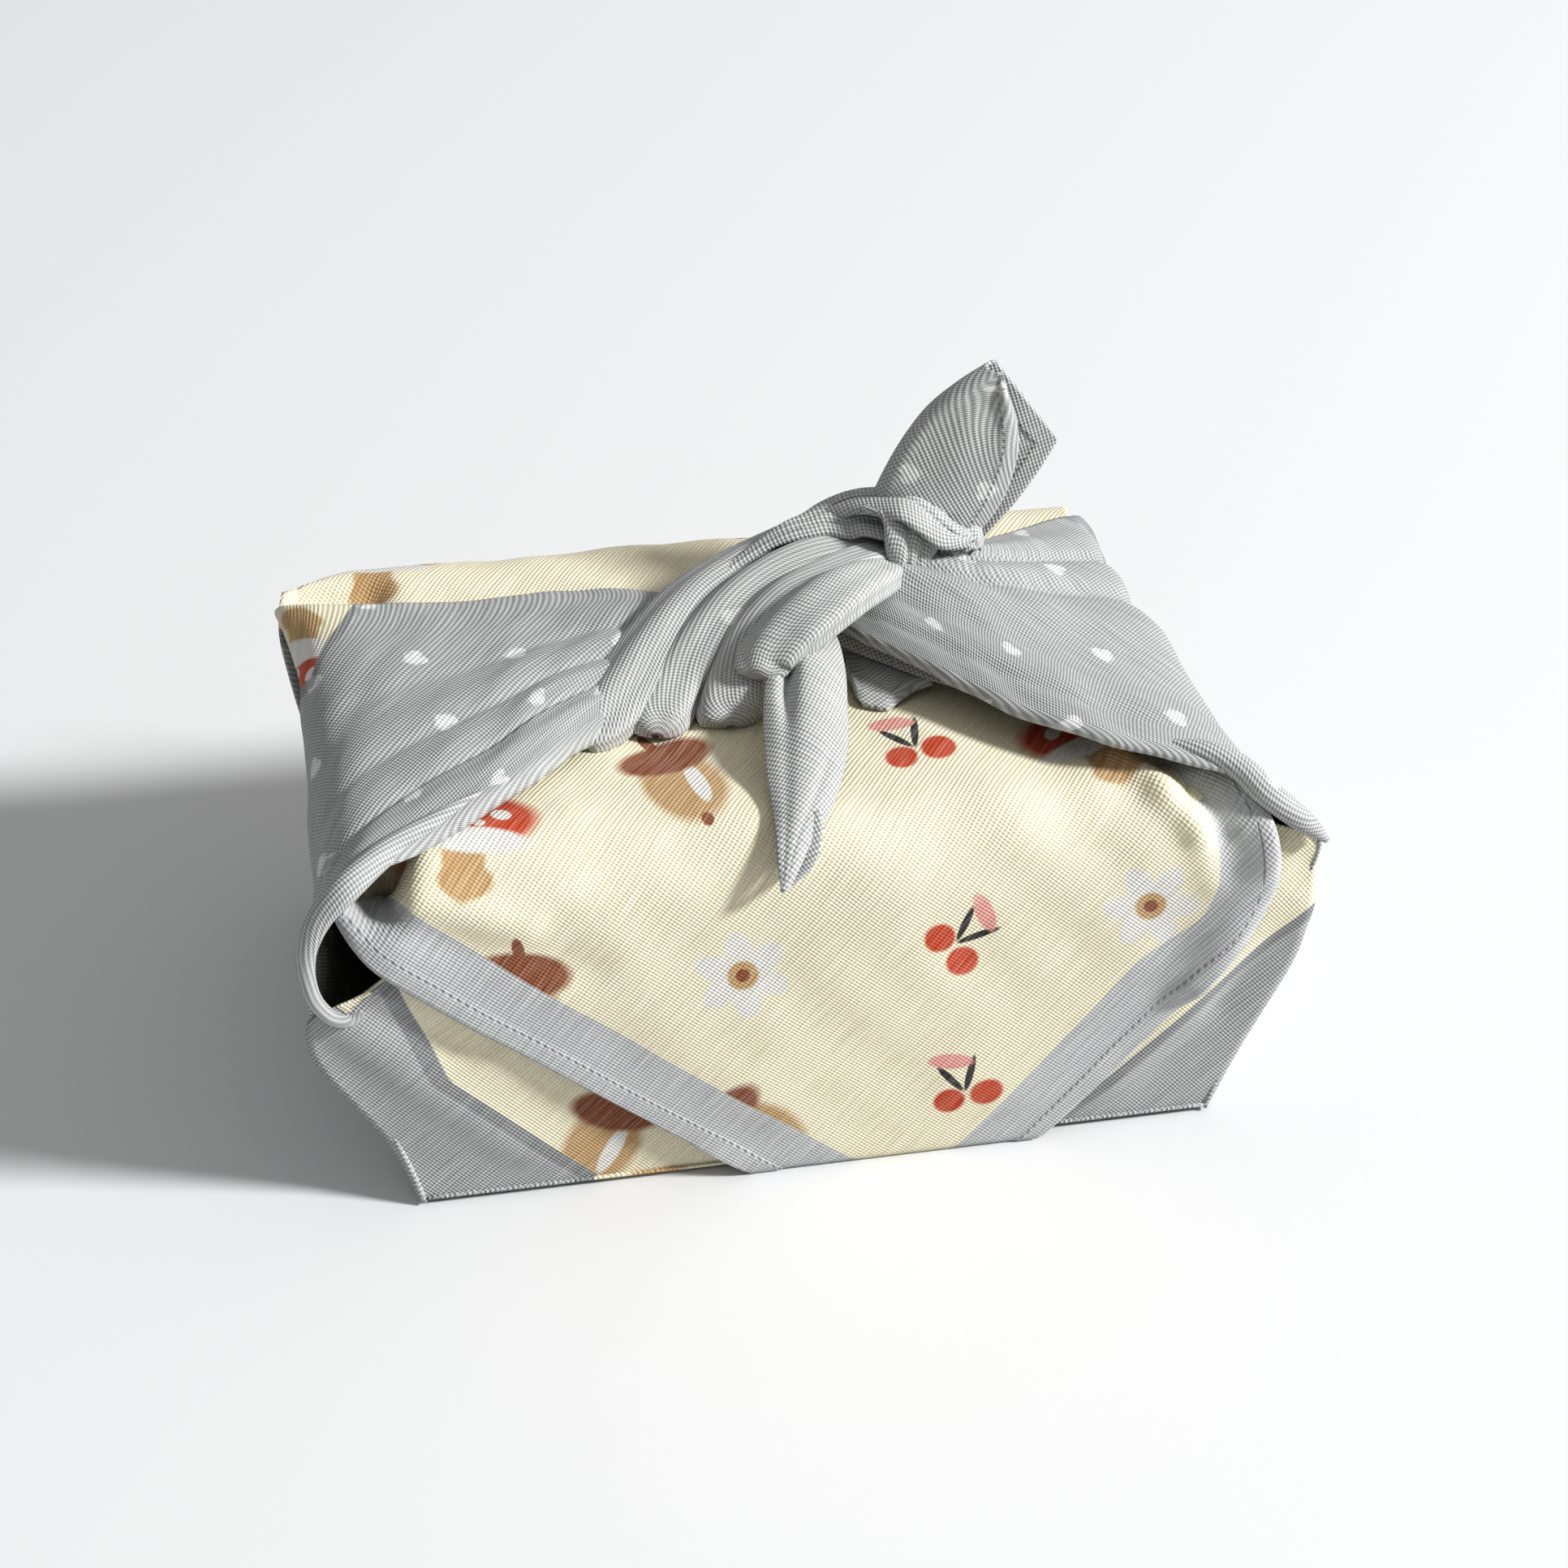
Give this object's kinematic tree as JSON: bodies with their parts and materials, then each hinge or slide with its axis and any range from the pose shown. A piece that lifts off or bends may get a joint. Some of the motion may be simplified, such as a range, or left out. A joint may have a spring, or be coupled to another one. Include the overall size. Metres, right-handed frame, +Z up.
{
  "type": "furoshiki wrap",
  "caption": "square wrapping cloth folded round a lunch box, with a pointed front flap, two side wings and a knot with two free tails on top",
  "frame": {"origin": "middle of the wrapped box's underside, on the surface it rests on", "axes": "+X runs along the long side to the right as the flap is faced, +Y away from the flap, +Z up"},
  "size_m": [0.2114, 0.1202, 0.1497],
  "materials": {
    "cotton": "matte slub weave"
  },
  "bodies": {
    "root": {"furoshiki": "cotton"}
  },
  "joints": []
}
